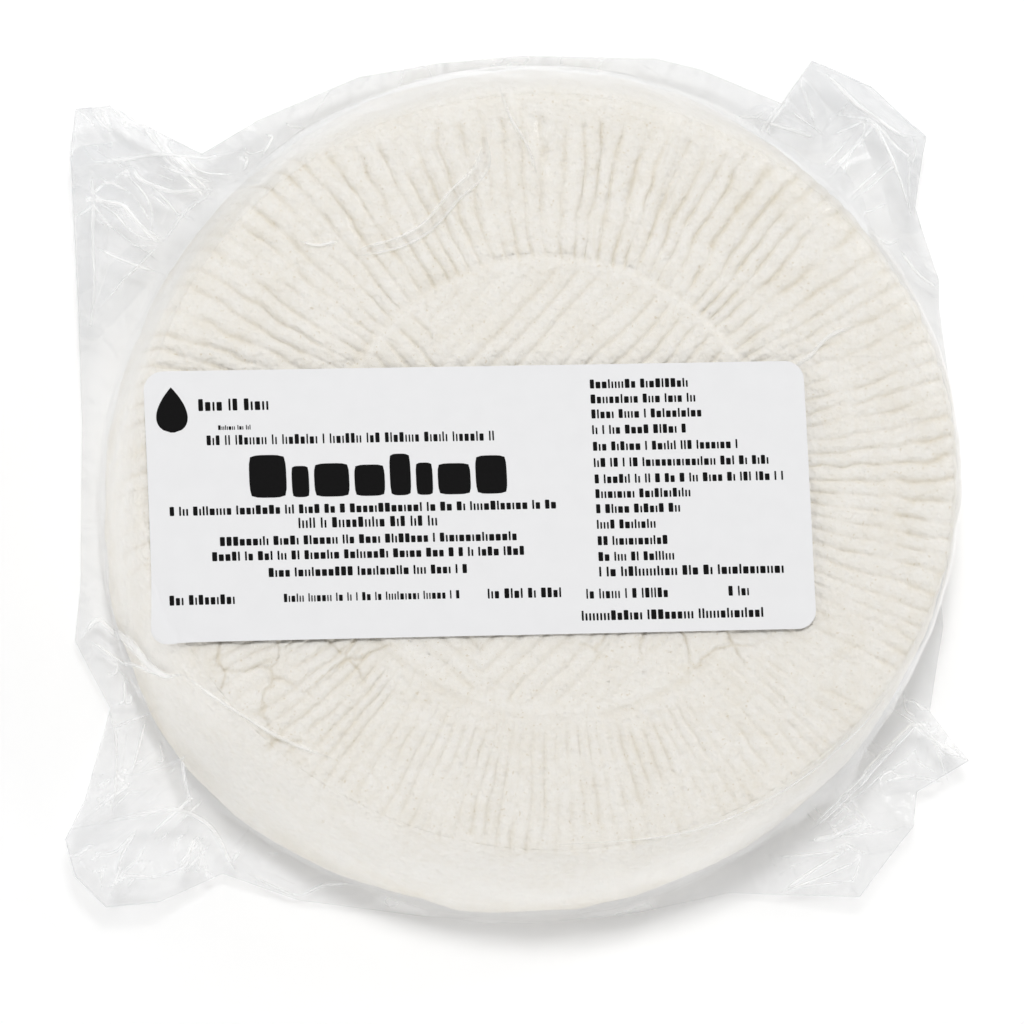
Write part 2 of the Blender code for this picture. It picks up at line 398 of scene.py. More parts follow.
def turned(radius, angle, height):
    """Points at the given radii, angles and heights about the wheel's axis."""
    x, y, z = np.broadcast_arrays(AXIS_X + radius * np.cos(angle), radius * np.sin(angle), height)
    return np.stack([x, y, z], axis=-1)


def even_angles(count):
    """Angles all the way round, in equal steps from 0."""
    return np.arange(count) * 2 * math.pi / count


def new_mesh(name, points, faces):
    """A mesh of the given faces, from points in millimetres."""
    mesh = bpy.data.meshes.new(name)
    mesh.from_pydata((points * MM).tolist(), [], faces)
    return mesh


def ring_mesh(name, rings, start=None, end=None):
    """A mesh of rings of points, joined by quads, with a point at either end if one is given."""
    count, sectors = rings.shape[:2]
    points = rings.reshape(-1, 3)
    k = np.arange(sectors)
    after = (k + 1) % sectors
    row = np.arange(count - 1)[:, None] * sectors
    quads = np.stack([row + k, row + k + sectors, row + after + sectors, row + after], axis=2)
    faces = quads.reshape(-1, 4).tolist()
    if start is not None:
        faces += np.stack([np.full(sectors, len(points)), k, after], axis=1).tolist()
        points = np.vstack([points, start])
    if end is not None:
        last = (count - 1) * sectors
        faces += np.stack([np.full(sectors, len(points)), last + after, last + k], axis=1).tolist()
        points = np.vstack([points, end])
    mesh = new_mesh(name, points, faces)
    mesh.shade_smooth()
    return mesh


def point_values(mesh, name, values):
    """Writes one number for each point, for the material to read. Points past the last value get 0."""
    padded = np.zeros(len(mesh.vertices), np.float32)
    padded[:values.size] = values.reshape(-1)
    mesh.attributes.new(name, "FLOAT", "POINT").data.foreach_set("value", padded)


def side_profile(angle, turn):
    """Radius and height of the side at each angle, for turns from 0 at the face's edge to 1 at the foot."""
    share = np.sin(0.5 * math.pi * turn) ** (2 / SIDE_ROUND)
    radius = face_edge(angle) + (side_edge(angle) - face_edge(angle)) * share
    return radius, WHEEL_TOP - side_drop(share) * (WHEEL_TOP - SIDE_FOOT)


def make_curd_face(name, shares, start=None):
    """Rings of the face at the given shares of its edge's radius. The last goes under its neighbour."""
    angle = even_angles(SECTORS)[None, :]
    radius = face_edge(angle) * shares[:, None]
    x, y = radius * np.cos(angle), radius * np.sin(angle)
    relief, depth = curd_relief(x, y, shares[:, None] + 0 * angle)
    rings = turned(radius, angle, WHEEL_TOP - FILM_GAP + swell(x, y) + relief)
    rings[-1] -= (0, 0, 0.03 if start else 1.2)
    mesh = ring_mesh(name, rings, start=start)
    # How deep each point is in a groove, crack or trench: the mask of the curd's painted shade.
    point_values(mesh, "painted_groove_shade", depth)
    return link_object(name, mesh)


def side_lumps(angle, turn, height):
    """How far the side stands out from its plain profile: lumps of two sizes, faint ribs and grain.

    Where the face's ribs run over the shoulder they are cut into the side too, and fade down it.
    The second result is how far they do at each point, from 0 to 1."""
    x, y = SIDE_ARC * np.cos(angle), SIDE_ARC * np.sin(angle)
    lumps = 0.6 * noise(x + height, y, 14, 51) + 0.3 * noise(x, y + height, 6, 52)
    streaks = groove(rib_phase(angle) + 0.2 * noise(x, y, 6, 56), 0.17)
    edge_x, edge_y = face_edge(angle) * np.cos(angle), face_edge(angle) * np.sin(angle)
    over = run_over(edge_x, edge_y)
    streaks = streaks * smooth(-0.2, 0.6, noise(x, y + 3 * height, 20, 55)) * (1 - over)
    run = over * (1 - smooth(0.3, 0.8, turn))
    ribs = RIB_DEPTH * run * rib_grooves(edge_x, edge_y)[0]
    return lumps - 0.28 * streaks + 0.06 * noise(angle * SIDE_ARC, height, 1.5, 53) - ribs, run


def make_curd_side():
    """Rings from the face's edge down the side, round the foot and under the base."""
    angle = even_angles(SECTORS)[None, :]
    turn = np.linspace(0, 1, SIDE_ROWS)[:, None]
    radius, height = side_profile(angle, turn)
    lumps, run = side_lumps(angle, turn, height)
    edge_x, edge_y = face_edge(angle) * np.cos(angle), face_edge(angle) * np.sin(angle)
    relief, depth = curd_relief(edge_x, edge_y, 1 + 0 * angle)
    blend = 1 - smooth(0, SHOULDER_TURN, turn)
    radius = radius + (lumps - 0.5 - FILM_GAP) * smooth(0, 0.3, turn)
    height = height - FILM_GAP * blend + (swell(edge_x, edge_y) + relief) * blend
    side = turned(radius, angle, height)

    turn = np.linspace(0, 1, 9)[1:, None]
    ragged = 0.5 * noise(angle * SIDE_ARC, 3, 9, 54) + 0.25 * noise(angle * SIDE_ARC, 3, 3, 57)
    out = radius[-1:] + ragged * turn
    radius = out - (out - BASE_RADIUS) * (1 - np.cos(0.5 * math.pi * turn)) * 0.9
    foot = turned(radius, angle, SIDE_FOOT - (SIDE_FOOT - BASE_HEIGHT) * np.sin(0.5 * math.pi * turn))
    base = turned(0.5 * BASE_RADIUS, angle, BASE_HEIGHT)
    rings = np.concatenate([side, foot, base])
    mesh = ring_mesh("ricotta_side", rings, end=[(AXIS_X, 0, BASE_HEIGHT)])
    # Painted shade: the curd's colour is darkened and warmed towards the foot, added to the grooves' painted
    # shade.
    uneven = 0.5 + 0.4 * noise(SIDE_ARC * np.cos(angle), SIDE_ARC * np.sin(angle), 7, 58)
    painted_foot_shade = np.clip(smooth(20, 5, side[..., 2]) * uneven, 0, 1)
    point_values(mesh, "painted_groove_shade", depth * np.maximum(blend, run) + painted_foot_shade)
    return link_object("ricotta_side", mesh)


def fresh_curd():
    """Fresh pressed curd: near white, matt and granular, with a few tan specks; painted shade darkens it in
    grooves, cracks and at the foot.
    """
    material, tree, output = new_material("fresh_ricotta_curd")
    place = add_node(tree, "TexCoord").outputs["Object"]
    depth = add_node(tree, "Attribute", attribute_name="painted_groove_shade").outputs["Fac"]
    mottle = add_node(tree, "TexNoise", {"Vector": place, "Scale": 1 / (8 * MM), "Detail": 4.0})
    granules = add_node(tree, "TexVoronoi", {"Vector": place, "Scale": 1 / (1.1 * MM)}, feature="SMOOTH_F1")
    crumb = add_node(tree, "TexNoise", {
        "Vector": place, "Scale": 1 / (1.6 * MM), "Detail": 3.0, "Roughness": 0.6,
    })
    specks = add_node(tree, "TexNoise", {"Vector": place, "Scale": 1 / (0.65 * MM), "Detail": 1.0})
    warm = add_node(tree, "MapRange", {
        "Value": mottle.outputs["Fac"], "From Min": 0.4, "From Max": 0.7, "To Max": 0.2,
    })
    flecks = add_node(tree, "Math", {0: crumb.outputs["Fac"], 1: 0.7, 2: -0.35}, operation="MULTIPLY_ADD")
    tone = add_node(tree, "Math", {0: warm, 1: flecks}, operation="ADD")
    # Painted shade: the groove mask mixes the curd towards its darker, creamier colour in grooves, cracks
    # and at the foot.
    both = add_node(tree, "Math", {0: depth, 1: 0.8, 2: tone}, operation="MULTIPLY_ADD", use_clamp=True)
    curd = add_node(tree, "Mix", {
        "Factor": both, "A": linear(CURD_WHITE), "B": linear(CURD_PAINTED_SHADE),
    }, data_type="RGBA")
    speck = add_node(tree, "MapRange", {
        "Value": specks.outputs["Fac"], "From Min": 0.69, "From Max": 0.75, "To Max": 0.4,
    })
    colour = add_node(tree, "Mix", {
        "Factor": speck, "A": curd.outputs["Result"], "B": linear(PORE_BROWN),
    }, data_type="RGBA")
    rough = add_node(tree, "Math", {
        0: crumb.outputs["Fac"], 1: 1.3, 2: granules.outputs["Distance"],
    }, operation="MULTIPLY_ADD")
    bump = add_node(tree, "Bump", {"Height": rough, "Strength": 1.0, "Distance": CURD_ROUGHNESS * MM})
    shader = add_node(tree, "BsdfPrincipled", {
        "Base Color": colour.outputs["Result"], "Roughness": 0.62, "IOR": 1.4,
        "Specular IOR Level": 0.25, "Normal": bump.outputs["Normal"],
    })
    tree.links.new(shader.outputs["BSDF"], output.inputs["Surface"])
    return material


curd_material = fresh_curd()
middle_shares = np.append(np.linspace(0.05, 0.58, 76), 0.587)
middle = make_curd_face("ricotta_middle", middle_shares, start=[(AXIS_X, 0, WHEEL_TOP - 1)])
ring = make_curd_face("ricotta_ring", np.append(np.linspace(0.573, 1.0, 76), 1.003))
for ricotta in (middle, ring, make_curd_side()):
    ricotta.data.materials.append(curd_material)
    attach(ricotta, "root")
    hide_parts("bag")

# ------------------------------------------------------------
# The film over the wheel: the upper sheet of a clear vacuum bag. The air has been drawn out, so it
# clings to the ribs, bridges their grooves, and stands up in thin folds where there is too much.

FILM_SECTORS = 880
FILM_LIFT = 0.05
FILM_HAZE = 0.03
FILM_SHINE = 0.03  # mirrored head on, by the sheet's two faces together
# The grey of the film's haze, which also carries painted shade.
HAZE_GREY = "#C8CBCF"
# White of the film's stress lines at creases and folds, partly painted highlight, and of a faint painted
# light down the wheel's side.
STRESS_AND_PAINTED_LIGHT_WHITE = "#FFFFFF"
SLACK = (  # places on the face where the film isn't pressed flat: x, y, radius
    (-42, 48, 10), (-2, 67, 8), (22, 66, 6), (52, 52, 6), (55, 24, 5), (-62, -36, 8),
    (-49, 33, 5), (40, 41, 5),
)
FILM_OUTLINE = (  # x and y of its corners, round from the right
    (88, 6), (86, 24), (84, 38), (84, 43), (79, 57), (81, 71), (70, 81), (58, 86), (54, 77),
    (36, 84), (27, 86), (0, 86), (-17, 84), (-32, 81), (-52, 72), (-63, 65), (-76, 71),
    (-81, 74), (-88, 73), (-89, 64), (-87, 33), (-86, 12), (-86, -20), (-87, -31), (-80, -44),
    (-85, -62), (-89, -70), (-87, -77), (-81, -83), (-71, -82), (-58, -76), (-43, -81),
    (-18, -84), (6, -85), (24, -83), (42, -79), (67, -80), (78, -66), (79, -59), (89, -53),
    (82, -43), (85, -26), (84, -15),
)
TENTS = (  # angle, half width and share of the places where the film runs from shoulder to ear
    (138, 17, 0.75), (222, 15, 0.45), (316, 15, 0.7), (46, 13, 0.7),
)
FILM_SIDE_ROWS = 29
NEAR_EDGE_Z = 1.3
EAR_EDGE_Z = 11.0
FAR_EDGE_Z = 8.0
EAR_REACH = 25.0


def facets(u, v, seed):
    """Random heights from -1 to 1 on a lattice of triangles, joined by flat facets.

    The facets meet in straight creases."""
    table = np.random.default_rng(seed).uniform(-1, 1, (256, 256))
    u, v = np.asarray(u) + 64.3, np.asarray(v) + 64.7
    i, j = np.floor(u).astype(int), np.floor(v).astype(int)
    u, v = u - i, v - j
    i, j, i2, j2 = i % 256, j % 256, (i + 1) % 256, (j + 1) % 256
    near = table[i, j] * (1 - u - v) + table[i2, j] * u + table[i, j2] * v
    far = table[i2, j2] * (u + v - 1) + table[i2, j] * (1 - v) + table[i, j2] * (1 - u)
    return np.where(u + v < 1, near, far)


def film_edge(angle):
    """Distance from the wheel's axis to the film's outline, along each angle.

    It is where a ray from the axis crosses the outline's straight sides."""
    start = np.array(FILM_OUTLINE, float) - (AXIS_X, 0)
    side = np.roll(start, -1, axis=0) - start
    ray_x, ray_y = np.cos(angle)[:, None], np.sin(angle)[:, None]
    cross = ray_x * side[:, 1] - ray_y * side[:, 0]
    cross = np.where(np.abs(cross) < 1e-9, 1e-9, cross)
    reach = (start[:, 0] * side[:, 1] - start[:, 1] * side[:, 0]) / cross
    along = (start[:, 0] * ray_y - start[:, 1] * ray_x) / cross
    return np.where((reach > 0) & (along >= -1e-9) & (along <= 1 + 1e-9), reach, 0).max(axis=1)


def slack_share(x, y):
    """How loose the film is on the face, from 0 to 1: high inside each of the slack places."""
    share = np.zeros_like(x)
    for middle_x, middle_y, reach in SLACK:
        share = np.maximum(share, smooth(reach, 0.3 * reach, np.hypot(x - middle_x, y - middle_y)))
    return share * smooth(-0.5, 0.3, noise(x, y, 5, 76))


def film_relief(x, y, edge_share):
    """Height of the film over the face's plane: like the curd's, but shallower in the grooves.

    It adds small tucks, and is a little higher where the film is slack."""
    ring, disc = rib_grooves(x, y)
    step, trench = disc_edge(x, y, 0.18)
    cut = ring * RIB_DEPTH * rib_fade(x, y, edge_share) + disc * DISC_RIB_DEPTH
    slack = slack_share(x, y)
    tucks = (0.03 + 0.2 * slack) * facets(x / 3.1 + y / 9, y / 4.7, 72)
    tucks = tucks + (0.02 + 0.13 * slack) * facets(y / 1.7, x / 1.3 - y / 5, 73)
    tucks = tucks + 0.1 * noise(x, y, 3.1, 41) + 0.08 * noise(x, y, 1.9, 42)
    return step + trench - 0.7 * cut + pull_ridges(x, y) + tucks + 0.1 * slack + 0.05 - rim_sag(edge_share)


def edge_height(angle):
    """Height of the film's outer edge: low at the near side, higher in the ears and at the far side."""
    level = NEAR_EDGE_Z + (FAR_EDGE_Z - NEAR_EDGE_Z) * (0.5 + 0.5 * np.sin(angle))
    return level + (EAR_EDGE_Z - level) * ear_share(angle) ** 1.5


def ear_share(angle):
    """0 where the film ends at the wheel and 1 where it reaches furthest out."""
    return np.clip((film_edge(angle) - side_edge(angle)) / EAR_REACH, 0, 1)


def tent_share(angle):
    """How much the film stands off the side, from 0 to 1.

    It is a bump about each tent's angle, with pleats that run out along it."""
    degrees = np.degrees(angle)
    pleats = 0.75 + 0.5 * facets(degrees / 4, 0 * angle, 77)
    share = np.zeros_like(angle)
    for middle, width, most in TENTS:
        away = np.abs((degrees - middle + 180) % 360 - 180)
        share = np.maximum(share, most * smooth(width, 0, away) * pleats)
    return np.clip(share, 0, 1)


def tent(angle, along):
    """Radius and height of a sagging line from the shoulder to the film's edge.

    Its height over the edge falls as the 1.7th power of the way that is left."""
    inner, outer = face_edge(angle), film_edge(angle)
    low = edge_height(angle)
    return inner + (outer - inner) * along, low + (WHEEL_TOP + FILM_LIFT - low) * (1 - along) ** 1.7


def side_tucks(angle, height):
    """How far the film's small folds stand off the side at each angle and height."""
    arc = angle * SIDE_ARC
    folds = 0.3 * facets(arc / 6 + height / 14, height / 12 - arc / 40, 74)
    folds = folds + 0.16 * facets(arc / 2.7, height / 7, 75)
    return 0.3 + folds + 0.5 * np.clip(facets(arc / 22, height / 4, 78), 0, 1) * smooth(24, 12, height)


def film_foot(angle):
    """Radius of the film at the wheel's foot."""
    return side_edge(angle) + side_tucks(angle, SIDE_FOOT + 0 * angle)


def side_rows(angle, turn):
    """Radius and height of the film down the side, which are the side's plus tucks, and how tented it is."""
    edge = face_edge(angle)
    radius, height = side_profile(angle, turn)
    edge_x, edge_y = edge * np.cos(angle), edge * np.sin(angle)
    radius = radius + side_tucks(angle, height) * smooth(0, 0.25, turn)
    level = FILM_LIFT + swell(edge_x, edge_y) + film_relief(edge_x, edge_y, 1 + 0 * edge)
    height = height + level * (1 - smooth(0, SHOULDER_TURN, turn))
    tent_radius, tent_height = tent(angle, 0.5 * turn)
    share = tent_share(angle) * smooth(0, 0.1, turn)
    return radius + (tent_radius - radius) * share, height + (tent_height - height) * share, share


def make_cling_film():
    """Rings over the face, round the shoulder and down the side to the wheel's foot."""
    angle = even_angles(FILM_SECTORS)
    shares = np.concatenate([[0.06, 0.15, 0.24], np.linspace(0.27, 1.0, 76)])[:, None]
    radius = face_edge(angle) * shares
    x, y = radius * np.cos(angle), radius * np.sin(angle)
    relief = film_relief(x, y, shares + 0 * radius)
    face = turned(radius, angle, WHEEL_TOP + FILM_LIFT + swell(x, y) + relief)
    turn = np.linspace(0, 1, FILM_SIDE_ROWS)[1:, None]
    radius, height, share = side_rows(angle, turn)
    rings = np.concatenate([face, turned(radius, angle, height)])
    mesh = ring_mesh("film_over_wheel", rings, start=[(AXIS_X, 0, WHEEL_TOP - 0.5)])
    point_values(mesh, "slack", np.concatenate([0.7 * slack_share(x, y), 0.3 + 0.7 * share + 0 * radius]))
    # A faint white down the side: painted light that lifts the side.
    point_values(mesh, "white_stress_and_painted_light", np.concatenate([0 * x, 0.05 + 0 * radius]))
    # Painted shade: the film is greyed at the far side, where it runs doubled and aslant past the shoulder.
    far_shade = 0.1 * smooth(0.3, 1, np.sin(angle)) * smooth(0, 0.3, turn)
    point_values(mesh, "haze_and_painted_shade", np.concatenate([0 * x, 0.15 * share + far_shade + 0 * radius]))
    return link_object("film_over_wheel", mesh)


def clear_film():
    """Blown polyamide and polythene film: clear and glossy, with white lines where it is creased, partly
    stress whitening and partly painted highlight.

    Pressed on the curd it takes the curd's grain, so its shine is broken up there, and sharp where it
    is slack. It is a little hazy, its haze carries painted shade too, and its heat seals are hatched."""
    material, tree, output = new_material("clear_vacuum_film")
    place = add_node(tree, "TexCoord").outputs["Object"]
    white_stress_and_painted_light = add_node(tree, "Attribute", attribute_name="white_stress_and_painted_light").outputs["Fac"]
    slack = add_node(tree, "Attribute", attribute_name="slack").outputs["Fac"]
    fine = add_node(tree, "TexNoise", {
        "Vector": place, "Scale": 1 / (1.8 * MM), "Detail": 2.0, "Roughness": 0.6,
    })
    seal = add_node(tree, "Attribute", attribute_name="seal").outputs["Fac"]
    hatch = add_node(tree, "TexWave", {
        "Vector": place, "Scale": 1 / (5 * MM), "Distortion": 9.0, "Detail": 3.0, "Detail Scale": 1.2,
    }, bands_direction="DIAGONAL")
    pressed = add_node(tree, "Math", {0: hatch.outputs["Fac"], 1: seal}, operation="MULTIPLY")
    height = add_node(tree, "Math", {0: pressed, 1: 1.6, 2: fine.outputs["Fac"]}, operation="MULTIPLY_ADD")
    bump = add_node(tree, "Bump", {"Height": height, "Strength": 0.35, "Distance": 0.2 * MM})
    gloss = add_node(tree, "MapRange", {"Value": slack, "To Min": 0.33, "To Max": 0.13})
    clear = add_node(tree, "BsdfTransparent", {"Color": PLAIN_WHITE})
    milky = add_node(tree, "BsdfDiffuse", {"Color": linear(HAZE_GREY)})
    # White diffuse: stress whitening and painted highlight along creases and folds, and painted light on the
    # side.
    white = add_node(tree, "BsdfDiffuse", {"Color": linear(STRESS_AND_PAINTED_LIGHT_WHITE)})
    mirror = add_node(tree, "BsdfGlossy", {
        "Color": PLAIN_WHITE, "Roughness": gloss, "Normal": bump.outputs["Normal"],
    })
    cloud_and_shade = add_node(tree, "Attribute", attribute_name="haze_and_painted_shade").outputs["Fac"]
    facing = add_node(tree, "LayerWeight", {
        "Blend": 0.5, "Normal": bump.outputs["Normal"],
    }).outputs["Facing"]
    # The haze is partly the film's milkiness and partly painted shade.
    haze_and_painted_shade = add_node(tree, "Math", {0: cloud_and_shade, 1: FILM_HAZE}, operation="ADD", use_clamp=True)
    dull = add_node(tree, "MixShader", {0: haze_and_painted_shade, 1: clear, 2: milky})
    sheet = add_node(tree, "MixShader", {0: white_stress_and_painted_light, 1: dull, 2: white})
    aslant = add_node(tree, "Math", {0: facing, 1: 5.0}, operation="POWER")
    shine = add_node(tree, "Math", {0: aslant, 1: 1 - FILM_SHINE, 2: FILM_SHINE}, operation="MULTIPLY_ADD")
    surface = add_node(tree, "MixShader", {0: shine, 1: sheet, 2: mirror})
    tree.links.new(surface.outputs[0], output.inputs["Surface"])
    return material


film_material = clear_film()
cling = make_cling_film()
cling.data.materials.append(film_material)
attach(cling, "root")
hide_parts("bag")

# ------------------------------------------------------------
# The film beyond the wheel: the two sheets of the bag meet round its foot and run out to four
# crumpled ears, where the bag's square corners were. The lower sheet goes on under the base.

EAR_SECTORS = 1500
EAR_RINGS = 60
UNDER_SECTORS = 900
UNDER_RINGS = 26
EAR_ARC = 95.0  # radius at which distance round the ears is measured
UNDER_HEIGHT = 0.12  # of the lower sheet under the base
# The white of each fold is stress whitening and painted highlight.
FOLDS = (  # width, height and white stress of each fold, the film's rise about it and its reach, points
    # over the face, far side and near side
    (2.6, 0.12, 0.24, 0, 1, (
        (-38, 40.6), (-35.5, 41.5), (-29, 43.5), (-23.6, 46.7), (-18.6, 52.8), (-14.5, 56.7),
        (-13, 60), (-13, 64))),
    (1.0, 0.2, 0.3, 0, 1, ((-10, 74), (-8, 68), (-5, 63), (-3, 57))),
    (1.2, 0.2, 0.35, 0, 1, ((46, 19.5), (50, 22.5), (54, 26.5), (59, 28.5))),
    (0.9, 0.2, 0.4, 0, 1, ((-70, -40), (-62, -46), (-52, -52), (-42, -56))),
    (0.5, 0.1, 0.35, 0, 1, (
        (1, -72), (20, -70.5), (35, -66.4), (48.5, -58.8), (60.4, -48.6), (65.4, -41.9))),
    (0.7, 0.15, 0.4, 0, 1, ((-48.5, 43), (-45, 42.4), (-41, 43.2))),
    # the far left ear
    (0.7, 0.2, 0.4, 0.8, 3, ((-80, 60), (-77, 57), (-75, 53), (-75, 48))),
    (1.0, 0.3, 0.6, 1.3, 4, ((-87, 55), (-81, 54), (-78, 51), (-75, 48), (-73, 47))),
    (0.6, 0.2, 0.4, 0.6, 2, ((-87, 55), (-83, 53), (-80, 50), (-77, 48), (-73, 47))),
    (0.8, 0.2, 0.5, 1.0, 3, ((-73, 47), (-69, 52), (-65, 55), (-63, 58))),
    (1.0, 0.3, 0.45, 1.4, 4, ((-87, 62), (-80, 63), (-75, 64), (-65, 64), (-61, 65), (-56, 66))),
    (1.1, 0.3, 0.6, 1.2, 3, ((-79, 62), (-77, 59), (-71, 57), (-63, 58))),
    (0.8, 0.2, 0.5, 0.8, 3, ((-73, 62), (-67, 60), (-63, 59))),
    (0.7, 0.2, 0.5, 0.8, 3, ((-77, 70), (-74, 66), (-72, 64))),
    (0.6, 0.2, 0.3, 1.2, 4, ((-73, 47), (-77, 43), (-80, 40), (-85, 34))),
    (1.0, 0.2, 0.4, 1.0, 3, ((-87, 61), (-86.5, 54), (-86.5, 46), (-86, 39), (-86.5, 31))),
    # the far right ear
    (1.2, 0.3, 0.6, 1.6, 4, ((57, 84), (60, 82), (65, 77), (69, 74), (74, 71), (78, 71))),
    (1.0, 0.2, 0.6, 1.0, 3, ((54, 81), (55, 78), (57, 73))),
    (0.6, 0.2, 0.15, 1.2, 4, ((60, 71), (67, 74))),
    (0.6, 0.3, 0.7, 1.4, 4, ((67, 74), (69, 72), (71, 68), (74, 61), (76, 56))),
    (0.9, 0.3, 0.6, 1.0, 3, ((46, 74.5), (53, 72), (57, 70.5))),
    (0.5, 0.2, 0.4, 0.6, 2, ((52, 76), (59, 71))),
    (0.5, 0.2, 0.5, 0.4, 2, ((76, 71), (77, 68), (75.5, 63), (76, 57))),
    (0.7, 0.2, 0.6, 0.6, 2, ((74, 49), (78, 44), (82, 41))),
    # the near left ear
    (1.2, 0.3, 0.6, 1.4, 4, ((-88, -31), (-85, -27), (-83, -28), (-80, -31), (-74, -39), (-70, -40))),
    (0.6, 0.3, 0.6, 0.8, 3, ((-86, -31), (-80, -35), (-73, -40))),
    (0.5, 0.2, 0.2, 0.6, 3, ((-84, -33), (-79, -38), (-75, -44))),
    (0.7, 0.2, 0.3, 0.8, 3, ((-82, -48), (-74, -45))),
    (0.6, 0.2, 0.3, 0.8, 3, ((-82, -45), (-81, -49), (-81, -57), (-82, -66))),
    (0.6, 0.2, 0.5, 1.0, 4, ((-75, -46), (-78, -57))),
    (0.7, 0.2, 0.25, 0.8, 3, ((-80, -57), (-77, -57), (-70, -55), (-68, -54))),
    (1.2, 0.3, 0.5, 1.6, 5, ((-90, -68), (-76, -65), (-71, -64), (-66, -65), (-62, -68), (-57, -76))),
    (0.9, 0.3, 0.5, 1.0, 3, ((-69, -54), (-68, -59), (-66, -64))),
    (0.8, 0.2, 0.6, 1.0, 3, ((-77, -68), (-81, -72), (-85, -73))),
    (0.8, 0.2, 0.6, 1.0, 3, ((-77, -68), (-80, -73), (-81, -78))),
    (0.9, 0.2, 0.6, 1.0, 3, ((-66, -70), (-68, -75), (-74, -77), (-79, -77), (-81, -78))),
    (0.7, 0.2, 0.5, 0.6, 2, ((-55, -76), (-46, -80), (-40, -78), (-34, -78))),
    # the near right ear
    (1.5, 0.4, 0.65, 1.8, 4, ((55, -67), (59, -63), (65, -57), (69, -53), (74, -48), (76, -46), (78, -46))),
    (0.6, 0.2, 0.4, 0.8, 3, ((58, -66), (62, -62), (68, -57), (71, -54))),
    (1.2, 0.3, 0.6, 1.2, 3, ((55, -69), (60, -68), (66, -65))),
    (0.6, 0.2, 0.3, 1.0, 4, ((55, -69), (63, -68), (71, -67), (74, -66))),
    (0.9, 0.3, 0.6, 1.2, 3, ((71, -57), (75, -56), (82, -57))),
    (0.6, 0.2, 0.4, 1.0, 4, ((76, -45), (80, -49), (83, -57))),
    (0.6, 0.2, 0.4, 1.0, 3, ((77, -45), (79, -47), (82, -51), (87, -53))),
    (0.8, 0.3, 0.6, 1.0, 3, ((50, -79), (57, -74), (62, -71))),
    (0.7, 0.3, 0.6, 1.0, 3, ((50, -79), (58, -76), (64, -73))),
    (0.6, 0.2, 0.5, 0.6, 2, ((52, -78), (63, -77))),
    (0.7, 0.2, 0.5, 0.8, 2, ((65, -73), (64, -76), (63, -77))),
    (0.6, 0.2, 0.4, 0.6, 2, ((50, -72), (62, -71))),
)
SEALS = (  # x, y and radius of the places where the heat seal has left its hatching
    (-81, 67, 9), (-85, -54, 4), (-86, -64, 5), (-85, -77, 6), (75, -61, 5), (84, -50, 3),
)
EAR_HAZE = 0.08
# The crease lines' white is partly stress whitening and partly painted highlight.
CREASE_BEND = (0.15, 0.9)  # changes of slope in a millimetre at which a crease starts and ends whitening


def spread_angles(count):
    """Angles round the wheel, up to 4 times closer together where an ear reaches out."""
    even = even_angles(7200)
    weight = np.cumsum(1 + 3 * ear_share(even))
    return np.interp(np.arange(count) * weight[-1] / count, weight - weight[0], even)


def fold_rise(x, y):
    """Height that the film gains about its folds: a roof along each line, straight down to nothing."""
    height = np.zeros(np.broadcast(x, y).shape)
    for _, _, _, rise, reach, points in FOLDS:
        for start, end in zip(points[:-1], points[1:]):
            height = np.maximum(height, rise * (1 - away_from_line(x, y, start, end) / reach))
    return height


def crumple(angle, radius):
    """Height of the film's crumpled facets: roofs about its folds, long pleats, and smaller ones across.

    The pleats' cells are longer outward than round the wheel, and other facets push them sideways."""
    arc, out = angle * EAR_ARC, radius - film_foot(angle)
    x, y = radius * np.cos(angle), radius * np.sin(angle)
    pleats = 0.8 * facets(arc / 9 + 0.5 * facets(arc / 15, out / 15, 82), out / 22, 81)
    cross = 0.5 * facets((0.8 * arc + 0.6 * out) / 5.2, (0.8 * out - 0.6 * arc) / 10, 83)
    streaks = 0.22 * facets(arc / 1.8 + 0.4 * facets(arc / 6, out / 6, 85), out / 9, 87)
    streaks = streaks * smooth(-0.4, 0.4, noise(x, y, 9, 89))
    small = 0.14 * facets((x + 0.4 * y) / 2.6, (y - 0.4 * x) / 3.4, 84)
    return fold_rise(x, y) + pleats + cross + streaks + small


def ear_rows(angle, share):
    """Radius and height of the film at shares of the way from the wheel's foot out to its edge.

    Its height over the edge falls as the square of the way that is left, and the crumple is added."""
    start = film_foot(angle)
    radius = start + (np.maximum(film_edge(angle), start + 0.8) - start) * share
    level = edge_height(angle)
    height = level + (SIDE_FOOT - level) * (1 - share) ** 2
    tent_radius, tent_height = tent(angle, 0.5 + 0.5 * share)
    off = tent_share(angle)
    radius = radius + (tent_radius - radius) * off
    height = height + (tent_height - height) * off
    height = height + crumple(angle, radius) * (1 - (1 - share) ** 3) * (0.12 + 0.88 * ear_share(angle))
    return radius, np.maximum(height, 0.6 + 0 * radius)


def ear_haze_and_shade(angle, share, slope):
    """How cloudy the ears' film is, with painted shade in it: cloudier far out, with painted shade where its
    facets are steep and at the far side, and clearer at the near side, painted light where the wheel's
    shadow falls.

    Where no ear reaches out at the far side, painted shade greys it by the wheel, and its cut edge is cloudy
    too."""
    far = np.sin(angle)
    # Painted shade: steep facets and the far side are greyed, and the near side is kept clearer where the
    # wheel's shadow falls.
    cloud_and_shade = EAR_HAZE * (0.4 + 1.6 * smooth(0.05, 0.55, slope))
    cloud_and_shade = cloud_and_shade * (0.95 + 0.65 * far - 0.1 * np.cos(angle)) * (0.5 + 0.7 * share)
    cloud_and_shade = cloud_and_shade + 0.16 * (1 - share) * smooth(0.2, 0.9, far) * (1 - ear_share(angle))
    return cloud_and_shade + 0.25 * (share > 0.985)


